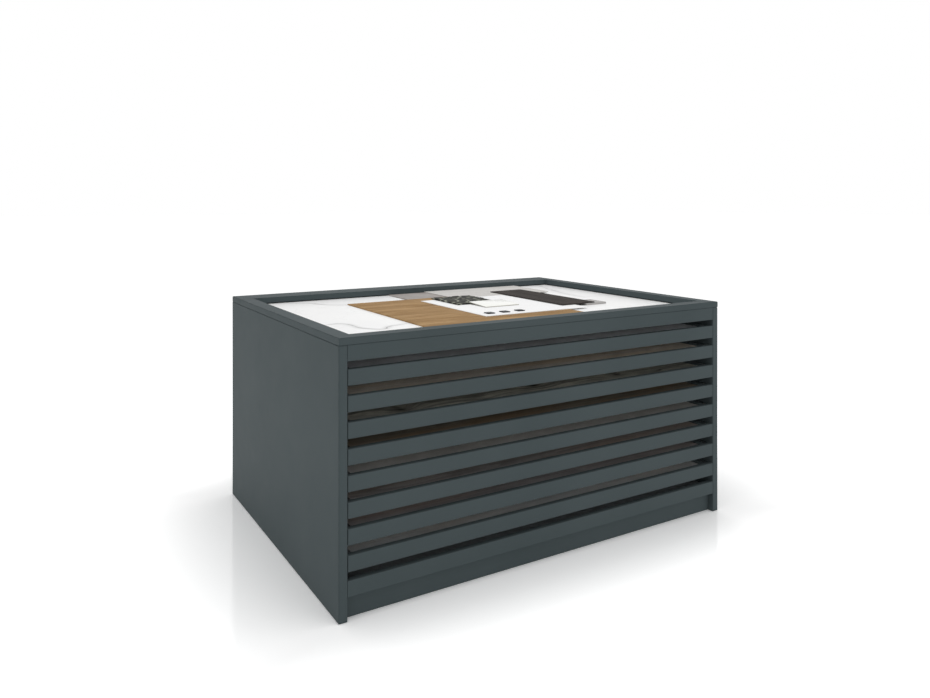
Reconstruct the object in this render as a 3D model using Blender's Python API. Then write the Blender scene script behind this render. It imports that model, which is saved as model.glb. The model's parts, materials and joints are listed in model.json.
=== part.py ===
"""Tile display drawer unit for a showroom floor.

A lacquered board carcass holds a stack of shallow drawers behind a slatted front. Each drawer is a
slat, a backing board and the tile it shows, and it runs out on a pair of telescopic slides. A framed
tray on top holds a marble slab with loose samples.

Metres, +Z up. The front faces -Y and the origin is the middle of the footprint, on the floor.
"""

import math

import bmesh
import bpy
from mathutils import Matrix, Vector

# Tiles, the format that the unit is built around
DRAWER_COUNT = 8
TILE_WIDTH = 1.200
TILE_DEPTH = 0.800
TILE_THICKNESS = 0.009
TILE_MARGIN = 0.0053  # bare edge of the backing board beside the tile
TILE_DROP = 0.003  # tile surface below the top of its slat
PLANK_DRAWERS = (7, 8)  # counted from the top, tiled with planks
PLANK_WIDTH = 0.200
PLANK_VEE = 0.0010  # depth of the vee between two planks

# Slatted front, the finger gaps between the slats sharing the height that is left
UNIT_HEIGHT = 0.662
SLAT_HEIGHT = 0.038
SLAT_THICKNESS = 0.018
SLAT_END_GAP = 0.0015  # between a drawer's slat and the side panel
TOP_GAP = 0.019  # between the top slat and the apron
BOTTOM_GAP = 0.020  # between the lowest slat and the bottom rail
PLINTH_HEIGHT = 0.057
PLINTH_THICKNESS = 0.018
PLINTH_SETBACK = 0.020

# Carcass and drawer boards
PANEL_THICKNESS = 0.022
BOTTOM_THICKNESS = 0.018
DECK_THICKNESS = 0.016
BACK_THICKNESS = 0.012
BACK_REBATE = 0.010  # how far the back panel is let into each side panel
HOUSING = 0.006  # how far the bottom and the deck are let into each side panel
REAR_SPACE = 0.110  # between the tiles and the back panel
BOARD_THICKNESS = 0.018
BOARD_TAIL = 0.015  # strip of the backing board behind the tile
TILE_STOP = 0.006  # rise of that strip, which keeps the tile from sliding back

# Top frame and display tray
FRAME_HEIGHT = 0.018
FRAME_WIDTH = 0.044
FRAME_BACK_WIDTH = 0.098
SLAB_THICKNESS = 0.008
SLAB_DROP = 0.003  # marble surface below the underside of the frame
SLAB_LAP = 0.004  # how far the frame covers the marble

# Telescopic slides, three rolled steel members that nest in the space beside a drawer
SLIDE_SPACE = 0.0127
SLIDE_HEIGHT = 0.035
SLIDE_SETBACK = 0.002  # behind the back of the slats
MIDDLE_SHORTER = 0.080
SHEET = 0.0012
WEB_GAP = 0.0010  # between the upright webs of neighbouring members
OUTER_SHORTFALL = 0.0022  # from the outer member's lip to the drawer board
MIDDLE_SHORTFALL = 0.0009  # from the middle member's lip to the drawer board
RACE_RISE = 0.0024  # height of the ball row between two members
RACE_LAND = 0.0010  # flat beside a ball row
WELD = 0.0005  # how far a fixed member is let into the board that carries it
ACCESS_SLOTS = 4  # oblong holes in the web of a middle member, to reach the screws behind it
SLOT_LENGTH = 0.034
SLOT_HEIGHT = 0.008
SLOT_INSET = 0.070  # from the member's ends to its outermost slots
SLOT_OVERCUT = 0.001  # how far a slot's cutter runs past both faces of the web

# Fits and edges
SEAT = 0.0003  # between pieces that touch
RUNNING_GAP = 0.0004  # between pieces that slide
ARRIS = 0.0012  # softened edge of a lacquered board
TILE_ARRIS = 0.0008
ROUND_STEPS = 2  # facets in a rounded corner
ROUND_SHARE = 0.45  # most of a straight that one rounded corner may take
RACE_STEPS = 6  # facets over a ball row
SLOT_STEPS = 6  # facets round the end of a slot
AXIS_ARROW = 0.1  # drawn length of the arrow on a joint's line

# Loose samples on the marble, measured from the left and front edges of the tray
OAK_SIDE = 0.545
OAK_LEFT = 0.261
OAK_FRONT = 0.091
BASE_SAMPLE_THICKNESS = 0.003  # oak and taupe tiles lie on the marble and carry the rest
BACK_SAMPLE_GAP = 0.005  # from the taupe and greige tiles to the back rail of the frame
TAUPE_LEFT = 0.484
TAUPE_WIDTH = 0.435
GREIGE_LEFT = 0.630
GREIGE_WIDTH = 0.402
GREIGE_LAP = 0.068  # how far the greige tile lies over the oak
GREIGE_THICKNESS = 0.0025
PLANK_SAMPLE_LEFT = 0.827
PLANK_SAMPLE_WIDTH = 0.135
PLANK_SAMPLE_LENGTH = 0.420
PLANK_SAMPLE_LAP = 0.080  # how far the plank lies over the greige tile
PLANK_SAMPLE_THICKNESS = 0.003
GREY_LEFT = 0.923
GREY_WIDTH = 0.085
GREY_DEPTH = 0.080
GREY_FORWARD = 0.004  # how far the grey piece shows in front of the plank
CARD_LEFT = 0.496
CARD_WIDTH = 0.383
CARD_FRONT = 0.164
CARD_THICKNESS = 0.0015

# Places that follow from the sizes above
INNER_X = TILE_WIDTH / 2 + TILE_MARGIN + SLIDE_SPACE
WIDTH = 2 * (INNER_X + PANEL_THICKNESS)
DEPTH = SLAT_THICKNESS + TILE_DEPTH + REAR_SPACE + BACK_THICKNESS
FRONT = -DEPTH / 2
BACK = DEPTH / 2
SLAT_BACK = FRONT + SLAT_THICKNESS
PANEL_TOP = UNIT_HEIGHT - FRAME_HEIGHT
APRON_BOTTOM = PANEL_TOP - SLAT_HEIGHT
HIGHEST_SLAT = APRON_BOTTOM - TOP_GAP - SLAT_HEIGHT
LOWEST_SLAT = PLINTH_HEIGHT + SLAT_HEIGHT + BOTTOM_GAP
PITCH = (HIGHEST_SLAT - LOWEST_SLAT) / (DRAWER_COUNT - 1)
BACK_FACE = BACK - BACK_THICKNESS - SEAT
SLAB_TOP = PANEL_TOP - SLAB_DROP
DECK_TOP = SLAB_TOP - SLAB_THICKNESS - SEAT
TRAY_LEFT = -WIDTH / 2 + FRAME_WIDTH
TRAY_FRONT = FRONT + FRAME_WIDTH
TRAY_BACK = BACK - FRAME_BACK_WIDTH

# A drawer is modelled about its slides: y = 0 is the front plane, z = 0 the middle of the slides
BEHIND_SLAT = SLAT_THICKNESS + SEAT
TILE_BOTTOM = BOARD_THICKNESS / 2 + SEAT
TILE_TOP = TILE_BOTTOM + TILE_THICKNESS
SLAT_TOP = TILE_TOP + TILE_DROP
SLAT_BOTTOM = SLAT_TOP - SLAT_HEIGHT
SLIDE_FRONT = SLAT_THICKNESS + SLIDE_SETBACK
SLIDE_LENGTH = TILE_DEPTH

# The slide's section: u runs from the side panel to the drawer board, v up from the middle
OUTER_HALF = SLIDE_HEIGHT / 2
OUTER_TIP = SLIDE_SPACE - OUTER_SHORTFALL
MIDDLE_HALF = OUTER_HALF - SHEET - RUNNING_GAP - RACE_RISE
MIDDLE_WEB = SHEET + WEB_GAP
MIDDLE_TIP = SLIDE_SPACE - MIDDLE_SHORTFALL
INNER_HALF = MIDDLE_HALF - SHEET - RUNNING_GAP - RACE_RISE
INNER_EDGE = MIDDLE_WEB + SHEET + WEB_GAP
LIP = RACE_RISE - RUNNING_GAP


def clear_scene():
    for thing in list(bpy.data.objects):
        bpy.data.objects.remove(thing)


def linear(level):
    """One 8-bit display level as a linear colour value."""
    share = level / 255
    if share <= 0.04045:
        return share / 12.92
    return ((share + 0.055) / 1.055) ** 2.4


def material(name, levels, roughness, metallic=0.0):
    made = bpy.data.materials.new(name)
    made.use_nodes = True
    shader = made.node_tree.nodes["Principled BSDF"]
    shader.inputs["Base Color"].default_value = (*(linear(level) for level in levels), 1.0)
    shader.inputs["Roughness"].default_value = roughness
    shader.inputs["Metallic"].default_value = metallic
    return made


def rectangle(low, high, radius=0.0):
    """Corners of a rectangle as (u, v, radius)."""
    return [
        (low[0], low[1], radius),
        (high[0], low[1], radius),
        (high[0], high[1], radius),
        (low[0], high[1], radius),
    ]


def rounded(corners):
    """A closed outline, each corner turned at its own radius within the straights beside it."""
    outline = []
    for index, (u, v, radius) in enumerate(corners):
        corner = Vector((u, v))
        if radius <= 0:
            outline.append(corner)
            continue
        to_last = Vector(corners[index - 1][:2]) - corner
        to_next = Vector(corners[(index + 1) % len(corners)][:2]) - corner
        half_angle = to_last.angle(to_next) / 2
        room = ROUND_SHARE * min(to_last.length, to_next.length)
        reach = min(radius / math.tan(half_angle), room)
        start = corner + reach * to_last.normalized()
        end = corner + reach * to_next.normalized()
        inward = (to_last.normalized() + to_next.normalized()).normalized()
        centre = corner + inward * reach / math.cos(half_angle)
        sweep = (start - centre).angle_signed(end - centre)
        for step in range(ROUND_STEPS + 1):
            arm = (start - centre).copy()
            arm.rotate(Matrix.Rotation(-sweep * step / ROUND_STEPS, 2))
            outline.append(centre + arm)
    return outline


def ball_row(start, end, level):
    """Half-round ridge along a flange, where the balls run, as outline corners."""
    middle = (start + end) / 2
    reach = (end - start) / 2
    ridge = []
    for step in range(RACE_STEPS + 1):
        turn = math.pi * step / RACE_STEPS
        ridge.append((middle - reach * math.cos(turn), level + RACE_RISE * math.sin(turn), 0.0))
    return ridge


def mirrored(upper):
    """A section's upper half closed by its lower half."""
    return upper + [(u, -v, radius) for u, v, radius in reversed(upper)]


def prism(outline, place, push):
    """A closed outline, set in space by `place` and extruded along the vector `push`."""
    mesh = bmesh.new()
    cap = mesh.faces.new([mesh.verts.new(place(u, v)) for u, v in outline])
    pushed = bmesh.ops.extrude_face_region(mesh, geom=[cap])["geom"]
    ends = [item for item in pushed if isinstance(item, bmesh.types.BMVert)]
    bmesh.ops.translate(mesh, verts=ends, vec=push)
    bmesh.ops.recalc_face_normals(mesh, faces=mesh.faces)
    return mesh


def box(low, high):
    outline = rounded(rectangle(low[:2], high[:2]))
    return prism(outline, lambda x, y: (x, y, low[2]), (0, 0, high[2] - low[2]))


def soften(mesh, chosen):
    """Bevel the edges whose two ends pass the test `chosen`."""
    edges = [edge for edge in mesh.edges if chosen(edge.verts[0].co, edge.verts[1].co)]
    bmesh.ops.bevel(
        mesh,
        geom=edges,
        offset=ARRIS,
        segments=ROUND_STEPS,
        affect="EDGES",
        clamp_overlap=True,
    )
    return mesh


def near(first, second):
    return abs(first - second) < SEAT


def add(name, mesh, finish, parent=None):
    data = bpy.data.meshes.new(name)
    mesh.to_mesh(data)
    mesh.free()
    data.materials.append(finish)
    return add_copy(name, data, parent)


def add_copy(name, data, parent):
    piece = bpy.data.objects.new(name, data)
    bpy.context.scene.collection.objects.link(piece)
    piece.parent = parent
    return piece


def add_axis(name, place):
    """An empty on the line that a moving group slides along."""
    axis = bpy.data.objects.new(name, None)
    axis.empty_display_type = "SINGLE_ARROW"
    axis.empty_display_size = AXIS_ARROW
    axis.location = place
    bpy.context.scene.collection.objects.link(axis)
    return axis


def combine(piece, operation, others):
    """Boolean the other pieces into this one and take them off the scene."""
    for other in others:
        step = piece.modifiers.new(operation, "BOOLEAN")
        step.operation = operation
        step.solver = "EXACT"
        step.object = other
    bpy.context.view_layer.update()
    graph = bpy.context.evaluated_depsgraph_get()
    result = bpy.data.meshes.new_from_object(piece.evaluated_get(graph))
    piece.modifiers.clear()
    piece.data = result
    for other in others:
        bpy.data.objects.remove(other)


def drawer_level(number):
    """Height of a drawer's slides, with drawer 1 at the top."""
    return HIGHEST_SLAT - (number - 1) * PITCH - SLAT_BOTTOM


def outer_section():
    lip = OUTER_HALF - SHEET - LIP
    return mirrored([
        (-WELD, OUTER_HALF, 0.0),
        (OUTER_TIP, OUTER_HALF, SHEET),
        (OUTER_TIP, lip, 0.0),
        (OUTER_TIP - SHEET, lip, 0.0),
        (OUTER_TIP - SHEET, OUTER_HALF - SHEET, 0.0),
        (SHEET, OUTER_HALF - SHEET, 0.0),
    ])


def middle_section():
    lip = MIDDLE_HALF - SHEET - LIP
    row_start = MIDDLE_WEB + SHEET + RACE_LAND
    row_end = OUTER_TIP - SHEET - RUNNING_GAP
    return mirrored([
        (MIDDLE_WEB, MIDDLE_HALF, SHEET),
        *ball_row(row_start, row_end, MIDDLE_HALF),
        (MIDDLE_TIP, MIDDLE_HALF, SHEET),
        (MIDDLE_TIP, lip, 0.0),
        (MIDDLE_TIP - SHEET, lip, 0.0),
        (MIDDLE_TIP - SHEET, MIDDLE_HALF - SHEET, 0.0),
        (MIDDLE_WEB + SHEET, MIDDLE_HALF - SHEET, 0.0),
    ])


def inner_section():
    row_start = INNER_EDGE + RACE_LAND
    row_end = MIDDLE_TIP - SHEET - RUNNING_GAP
    return mirrored([
        (SLIDE_SPACE + WELD, INNER_HALF, 0.0),
        *ball_row(row_end, row_start, INNER_HALF),
        (INNER_EDGE, INNER_HALF, 0.0),
        (INNER_EDGE, INNER_HALF - SHEET, 0.0),
        (SLIDE_SPACE - SHEET, INNER_HALF - SHEET, 0.0),
    ])


def slide_member(section, side, length):
    """One rolled member in a drawer's own coordinates; side is -1 on the left and 1 on the right."""
    return prism(
        rounded(section),
        lambda u, v: (side * (INNER_X - u), SLIDE_FRONT, v),
        (0, length, 0),
    )


def slot_outline(start):
    """An oblong hole along a member, as (y, v) points."""
    radius = SLOT_HEIGHT / 2
    ends = ((start + radius, math.pi / 2), (start + SLOT_LENGTH - radius, -math.pi / 2))
    outline = []
    for centre, first in ends:
        for step in range(SLOT_STEPS + 1):
            turn = first + math.pi * step / SLOT_STEPS
            outline.append((centre + radius * math.cos(turn), radius * math.sin(turn)))
    return outline


def add_middle_member(side, steel):
    """The member between the fixed one and the drawer's own, with slots along its web."""
    length = SLIDE_LENGTH - MIDDLE_SHORTER
    member = add("middle pattern", slide_member(middle_section(), side, length), steel)
    first = SLIDE_FRONT + SLOT_INSET
    spacing = (length - 2 * SLOT_INSET - SLOT_LENGTH) / (ACCESS_SLOTS - 1)
    cut_start = side * (INNER_X - MIDDLE_WEB + SLOT_OVERCUT)
    cut = -side * (SHEET + 2 * SLOT_OVERCUT)
    slots = []
    for index in range(ACCESS_SLOTS):
        outline = slot_outline(first + index * spacing)
        mesh = prism(outline, lambda y, z: (cut_start, y, z), (cut, 0, 0))
        slots.append(add("slot", mesh, steel))
    combine(member, "DIFFERENCE", slots)
    return member


def rail(half_length, bottom, top, depth):
    """A slat of the front, with softened long edges, its face on y = 0."""
    outline = rounded(rectangle((0, bottom), (depth, top), ARRIS))
    return prism(outline, lambda y, z: (-half_length, y, z), (2 * half_length, 0, 0))


def add_side_panel(name, side, finish, steel):
    """Side panel rebated for the back, housed for the two decks, with the fixed slide members on it."""
    plan = [
        (0, FRONT),
        (PANEL_THICKNESS, FRONT),
        (PANEL_THICKNESS, BACK),
        (BACK_REBATE, BACK),
        (BACK_REBATE, BACK_FACE),
        (0, BACK_FACE),
    ]
    mesh = prism(plan, lambda u, y: (side * (INNER_X + u), y, 0), (0, 0, PANEL_TOP - SEAT))

    def shows(a, b):
        on_front = near(a.y, FRONT) and near(b.y, FRONT)
        on_outside = near(abs(a.x), WIDTH / 2) and near(abs(b.x), WIDTH / 2)
        return on_front or on_outside

    panel = add(name, soften(mesh, shows), finish)
    housings = []
    decks = ((PLINTH_HEIGHT, BOTTOM_THICKNESS), (DECK_TOP - DECK_THICKNESS, DECK_THICKNESS))
    ends = sorted((side * (INNER_X - HOUSING), side * (INNER_X + HOUSING)))
    for bottom, thickness in decks:
        low = (ends[0], SLAT_BACK, bottom - SEAT)
        high = (ends[1], BACK_FACE + BACK_THICKNESS / 2, bottom + thickness + SEAT)
        housings.append(add("housing", box(low, high), finish))
    combine(panel, "DIFFERENCE", housings)
    members = []
    for number in range(1, DRAWER_COUNT + 1):
        member = add("outer member", slide_member(outer_section(), side, SLIDE_LENGTH), steel)
        member.location = (0, FRONT, drawer_level(number))
        members.append(member)
    combine(panel, "UNION", members)


def add_carcass(lacquer, inside, steel):
    add_side_panel("left_side_panel", -1, lacquer, steel)
    add_side_panel("right_side_panel", 1, lacquer, steel)

    back_half = INNER_X + BACK_REBATE - SEAT
    low = (-back_half, BACK - BACK_THICKNESS, 0)
    add("back_panel", box(low, (back_half, BACK, PANEL_TOP - SEAT)), lacquer)

    housed = INNER_X + HOUSING - SEAT
    low = (-housed, SLAT_BACK + SEAT, PLINTH_HEIGHT)
    add("bottom_panel", box(low, (housed, BACK_FACE, PLINTH_HEIGHT + BOTTOM_THICKNESS)), inside)
    low = (-housed, SLAT_BACK + SEAT, DECK_TOP - DECK_THICKNESS)
    add("top_deck", box(low, (housed, BACK_FACE, DECK_TOP)), inside)

    between = INNER_X - SEAT
    plinth_front = FRONT + PLINTH_SETBACK
    low = (-between, plinth_front, 0)
    high = (between, plinth_front + PLINTH_THICKNESS, PLINTH_HEIGHT - SEAT)
    add("front_plinth", box(low, high), lacquer)
    for name, bottom in (("bottom_front_rail", PLINTH_HEIGHT), ("top_apron", APRON_BOTTOM)):
        fixed = add(name, rail(between, bottom, bottom + SLAT_HEIGHT - SEAT, SLAT_THICKNESS), lacquer)
        fixed.location.y = FRONT


def add_frame(lacquer):
    """Four rails on top of the carcass, mitred at the front and butted against the wide back rail."""
    mitre = SEAT * math.sqrt(2)
    inner_front = FRONT + FRAME_WIDTH
    side_end = TRAY_BACK - SEAT

    def rail_on_top(name, plan, runs_along):
        mesh = prism(plan, lambda x, y: (x, y, PANEL_TOP), (0, 0, FRAME_HEIGHT))
        add(name, soften(mesh, runs_along), lacquer)

    def along_x(a, b):
        return near(a.y, b.y) and near(a.z, b.z)

    def along_y(a, b):
        return near(a.x, b.x) and near(a.z, b.z)

    def along_x_or_at_an_end(a, b):
        return along_x(a, b) or (near(abs(a.x), WIDTH / 2) and near(a.x, b.x))

    half = WIDTH / 2
    inner = half - FRAME_WIDTH
    plan = [(-half, FRONT), (half, FRONT), (inner, inner_front), (-inner, inner_front)]
    rail_on_top("front_frame_rail", plan, along_x)
    for name, side in (("left_frame_rail", -1), ("right_frame_rail", 1)):
        plan = [
            (side * half, FRONT + mitre),
            (side * inner, inner_front + mitre),
            (side * inner, side_end),
            (side * half, side_end),
        ]
        rail_on_top(name, plan, along_y)
    plan = [(-half, TRAY_BACK), (half, TRAY_BACK), (half, BACK), (-half, BACK)]
    rail_on_top("back_frame_rail", plan, along_x_or_at_an_end)


def sample(left, front, bottom, size):
    """A flat sample, placed from the tray's left and front edges and the marble's surface."""
    low = (TRAY_LEFT + left, TRAY_FRONT + front, SLAB_TOP + bottom)
    return box(low, tuple(start + length for start, length in zip(low, size)))


def add_tray(marble, oak, taupe, greige, plank, grey, card):
    slab_half = WIDTH / 2 - FRAME_WIDTH + SLAB_LAP
    low = (-slab_half, TRAY_FRONT - SLAB_LAP, SLAB_TOP - SLAB_THICKNESS)
    add("tray_marble_slab", box(low, (slab_half, TRAY_BACK + SLAB_LAP, SLAB_TOP)), marble)

    first = SEAT
    second = first + BASE_SAMPLE_THICKNESS + SEAT
    third = second + GREIGE_THICKNESS + SEAT
    oak_back = OAK_FRONT + OAK_SIDE
    size = (OAK_SIDE, OAK_SIDE, BASE_SAMPLE_THICKNESS)
    add("oak_sample", sample(OAK_LEFT, OAK_FRONT, first, size), oak)
    taupe_front = oak_back + SEAT
    back_row = TRAY_BACK - TRAY_FRONT - BACK_SAMPLE_GAP
    size = (TAUPE_WIDTH, back_row - taupe_front, BASE_SAMPLE_THICKNESS)
    add("taupe_sample", sample(TAUPE_LEFT, taupe_front, first, size), taupe)

    greige_front = oak_back - GREIGE_LAP
    size = (GREIGE_WIDTH, back_row - greige_front, GREIGE_THICKNESS)
    add("greige_sample", sample(GREIGE_LEFT, greige_front, second, size), greige)
    size = (CARD_WIDTH, greige_front - SEAT - CARD_FRONT, CARD_THICKNESS)
    add("white_card_sample", sample(CARD_LEFT, CARD_FRONT, second, size), card)

    plank_front = greige_front + PLANK_SAMPLE_LAP - PLANK_SAMPLE_LENGTH
    size = (PLANK_SAMPLE_WIDTH, PLANK_SAMPLE_LENGTH, PLANK_SAMPLE_THICKNESS)
    add("dark_plank_sample", sample(PLANK_SAMPLE_LEFT, plank_front, third, size), plank)
    size = (GREY_WIDTH, GREY_DEPTH, third - SEAT - first)
    add("grey_sample", sample(GREY_LEFT, plank_front - GREY_FORWARD, first, size), grey)


def tile_section(planked):
    """A tile from front to back, with a vee at each joint where planks make it up."""
    back = BEHIND_SLAT + TILE_DEPTH
    top = [(BEHIND_SLAT, TILE_TOP, TILE_ARRIS)]
    if planked:
        joint = BEHIND_SLAT + PLANK_WIDTH
        while joint < back - PLANK_VEE:
            top.append((joint - PLANK_VEE, TILE_TOP, 0.0))
            top.append((joint, TILE_TOP - PLANK_VEE, 0.0))
            top.append((joint + PLANK_VEE, TILE_TOP, 0.0))
            joint += PLANK_WIDTH
    top.append((back, TILE_TOP, TILE_ARRIS))
    return rounded(top + [(back, TILE_BOTTOM, 0.0), (BEHIND_SLAT, TILE_BOTTOM, 0.0)])


def board_section():
    """A backing board from front to back, stepped up behind the tile."""
    half = BOARD_THICKNESS / 2
    stop_front = BEHIND_SLAT + TILE_DEPTH + SEAT
    back = BEHIND_SLAT + TILE_DEPTH + BOARD_TAIL
    return rounded([
        (BEHIND_SLAT, -half, 0.0),
        (back, -half, 0.0),
        (back, half + TILE_STOP, TILE_ARRIS),
        (stop_front, half + TILE_STOP, TILE_ARRIS),
        (stop_front, half, 0.0),
        (BEHIND_SLAT, half, 0.0),
    ])


def add_drawers(lacquer, board_finish, steel, tile_finishes):
    slat_half = INNER_X - SLAT_END_GAP
    board_half = INNER_X - SLIDE_SPACE

    front = add("front pattern", rail(slat_half, SLAT_BOTTOM, SLAT_TOP, SLAT_THICKNESS), lacquer)
    mesh = prism(board_section(), lambda y, z: (-board_half, y, z), (2 * board_half, 0, 0))
    board = add("board pattern", mesh, board_finish)
    members = []
    for side in (-1, 1):
        members.append(add("inner member", slide_member(inner_section(), side, SLIDE_LENGTH), steel))
    combine(board, "UNION", members)
    middles = {"left": add_middle_member(-1, steel), "right": add_middle_member(1, steel)}

    for number in range(1, DRAWER_COUNT + 1):
        place = (0, FRONT, drawer_level(number))
        drawer_axis = add_axis(f"drawer_{number}_axis", place)
        add_copy(f"drawer_{number}_front", front.data, drawer_axis)
        add_copy(f"drawer_{number}_board", board.data, drawer_axis)
        section = tile_section(number in PLANK_DRAWERS)
        tile = prism(section, lambda y, z: (-TILE_WIDTH / 2, y, z), (TILE_WIDTH, 0, 0))
        add(f"drawer_{number}_tile", tile, tile_finishes[(number - 1) % len(tile_finishes)], drawer_axis)
        slide_axis = add_axis(f"slide_{number}_axis", place)
        for name, pattern in middles.items():
            add_copy(f"slide_{number}_{name}_middle", pattern.data, slide_axis)
    for pattern in (front, board, *middles.values()):
        bpy.data.objects.remove(pattern)


def main():
    clear_scene()
    lacquer = material("slate grey lacquer", (70, 79, 81), 0.55)
    inside = material("grey carcass board", (150, 155, 158), 0.6)
    steel = material("zinc plated steel", (150, 152, 155), 0.3, 1.0)
    board_finish = material("black backing board", (40, 40, 42), 0.6)
    tile_finishes = [
        material("light grey stone tile", (182, 181, 179), 0.5),
        material("bleached oak tile", (180, 168, 150), 0.5),
        material("knotted wood tile", (142, 138, 122), 0.5),
        material("brown wood tile", (118, 106, 88), 0.5),
        material("taupe stone tile", (166, 162, 157), 0.5),
        material("red brown wood tile", (136, 125, 117), 0.5),
        material("red brown plank tile", (140, 128, 119), 0.5),
        material("taupe plank tile", (166, 163, 156), 0.5),
    ]
    add_carcass(lacquer, inside, steel)
    add_frame(lacquer)
    add_tray(
        marble=material("white marble", (247, 247, 246), 0.3),
        oak=material("oak", (161, 124, 79), 0.5),
        taupe=material("taupe stone", (160, 154, 150), 0.5),
        greige=material("greige stone", (207, 204, 200), 0.5),
        plank=material("dark wood plank", (59, 55, 53), 0.45),
        grey=material("grey stone", (175, 172, 170), 0.45),
        card=material("white card", (245, 245, 245), 0.6),
    )
    add_drawers(lacquer, board_finish, steel, tile_finishes)


main()
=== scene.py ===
# %% [markdown]
# # Dressing a tile display drawer unit
#
# The unit is a low showroom cabinet: eight wide, shallow drawers behind a slatted front, each showing one
# large tile, with a framed marble tray of loose samples on top. Its exact shapes come from a imported CAD
# model, which this script loads as a fixed frame and never changes. What is added here is the look: a
# finish for every board, slide and tile, grey strips over the tiles' right ends as painted shade, the small
# samples in the tray, and the screws. All lengths are in metres.

# %% Load the frame
import json
import math

import bmesh
import bpy
from mathutils import Matrix, Vector
from mathutils.geometry import interpolate_bezier

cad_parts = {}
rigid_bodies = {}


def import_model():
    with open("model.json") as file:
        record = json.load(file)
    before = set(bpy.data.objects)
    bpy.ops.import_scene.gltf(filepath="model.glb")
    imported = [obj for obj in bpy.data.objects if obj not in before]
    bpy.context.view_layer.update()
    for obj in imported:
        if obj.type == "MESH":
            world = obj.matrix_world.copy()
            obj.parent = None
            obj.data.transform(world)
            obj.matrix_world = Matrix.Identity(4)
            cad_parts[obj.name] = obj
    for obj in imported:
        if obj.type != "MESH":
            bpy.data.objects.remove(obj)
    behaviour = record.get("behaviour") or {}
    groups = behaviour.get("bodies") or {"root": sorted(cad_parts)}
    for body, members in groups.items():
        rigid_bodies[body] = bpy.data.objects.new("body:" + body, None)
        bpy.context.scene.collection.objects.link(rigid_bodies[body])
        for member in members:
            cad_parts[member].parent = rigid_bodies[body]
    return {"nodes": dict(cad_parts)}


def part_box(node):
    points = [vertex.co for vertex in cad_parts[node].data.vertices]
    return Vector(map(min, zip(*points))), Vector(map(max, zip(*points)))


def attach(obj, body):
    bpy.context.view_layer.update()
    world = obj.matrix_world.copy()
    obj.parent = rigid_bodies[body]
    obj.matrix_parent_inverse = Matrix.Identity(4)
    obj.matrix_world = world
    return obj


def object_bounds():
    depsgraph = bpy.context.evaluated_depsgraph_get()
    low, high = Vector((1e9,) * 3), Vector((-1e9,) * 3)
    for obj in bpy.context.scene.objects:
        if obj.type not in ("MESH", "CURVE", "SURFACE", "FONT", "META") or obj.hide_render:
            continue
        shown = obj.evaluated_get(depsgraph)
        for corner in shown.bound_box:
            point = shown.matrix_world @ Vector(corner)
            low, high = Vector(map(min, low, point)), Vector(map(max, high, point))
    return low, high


for leftover in list(bpy.data.objects):
    bpy.data.objects.remove(leftover)
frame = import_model()
nodes = frame["nodes"]
cad_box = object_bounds()
scene = bpy.context.scene
print(len(nodes), "CAD nodes, box", [round(side, 3) for side in cad_box[1] - cad_box[0]])

# %% [markdown]
# ## The camera
#
# All uprights in the photograph are parallel, so its camera was level and the picture was framed lower by
# shifting the lens. A tilted camera could show the same things, but its uprights would lean. The place,
# turn and focal length come from fitting the corners of the cabinet.

# %% Camera
PHOTO_PLACE = Vector((-1.314, -2.140, 0.975))
PHOTO_TURN = math.radians(-31.30)  # about the upright; 0 looks straight at the front
FOCAL_LENGTH = 29.78  # millimetres
SENSOR_WIDTH = 36.0  # millimetres
LENS_SHIFT = -0.1571  # in sensor widths

lens = bpy.data.cameras.new("photo_camera")
lens.sensor_fit = "HORIZONTAL"
lens.sensor_width = SENSOR_WIDTH
lens.lens = FOCAL_LENGTH
lens.shift_y = LENS_SHIFT
camera = bpy.data.objects.new("photo_camera", lens)
camera.location = PHOTO_PLACE
camera.rotation_euler = (math.radians(90), 0, PHOTO_TURN)
scene.collection.objects.link(camera)
scene.camera = camera
cabinet_middle = (cad_box[0] + cad_box[1]) / 2
print("camera", round((PHOTO_PLACE - cabinet_middle).length, 2), "m from the cabinet")

# %% [markdown]
# ## Writing node trees as expressions
#
# A material is a graph of nodes, and a graph is tedious to write link by link. `Amount` wraps one output
# socket and overloads Python's operators, so that `1 - mask` adds a Math node. `Tree` has one method that
# adds any other node: first its settings, then the values or links of its sockets. Both serve materials
# and Geometry Nodes alike.


# %% Sockets that do arithmetic
class Amount:
    """An output socket that Python arithmetic understands."""

    def __init__(self, tree, socket):
        self.tree = tree
        self.socket = socket

    def math(self, operation, *terms):
        """A Math node on the terms, each a number or an Amount."""
        return self.tree.node("ShaderNodeMath", {"operation": operation}, dict(enumerate(terms)))

    def __add__(self, other):
        return self.math("ADD", self, other)

    def __radd__(self, other):
        return self.math("ADD", other, self)

    def __sub__(self, other):
        return self.math("SUBTRACT", self, other)

    def __rsub__(self, other):
        return self.math("SUBTRACT", other, self)

    def __mul__(self, other):
        return self.math("MULTIPLY", self, other)

    def __rmul__(self, other):
        return self.math("MULTIPLY", other, self)

    def __truediv__(self, other):
        return self.math("DIVIDE", self, other)

    def __rtruediv__(self, other):
        return self.math("DIVIDE", other, self)

    def __abs__(self):
        return self.math("ABSOLUTE", self)

    def floor(self):
        return self.math("FLOOR", self)

    def fraction(self):
        return self.math("FRACT", self)

    def larger(self, other):
        return self.math("MAXIMUM", self, other)

    def smaller(self, other):
        return self.math("MINIMUM", self, other)


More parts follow.
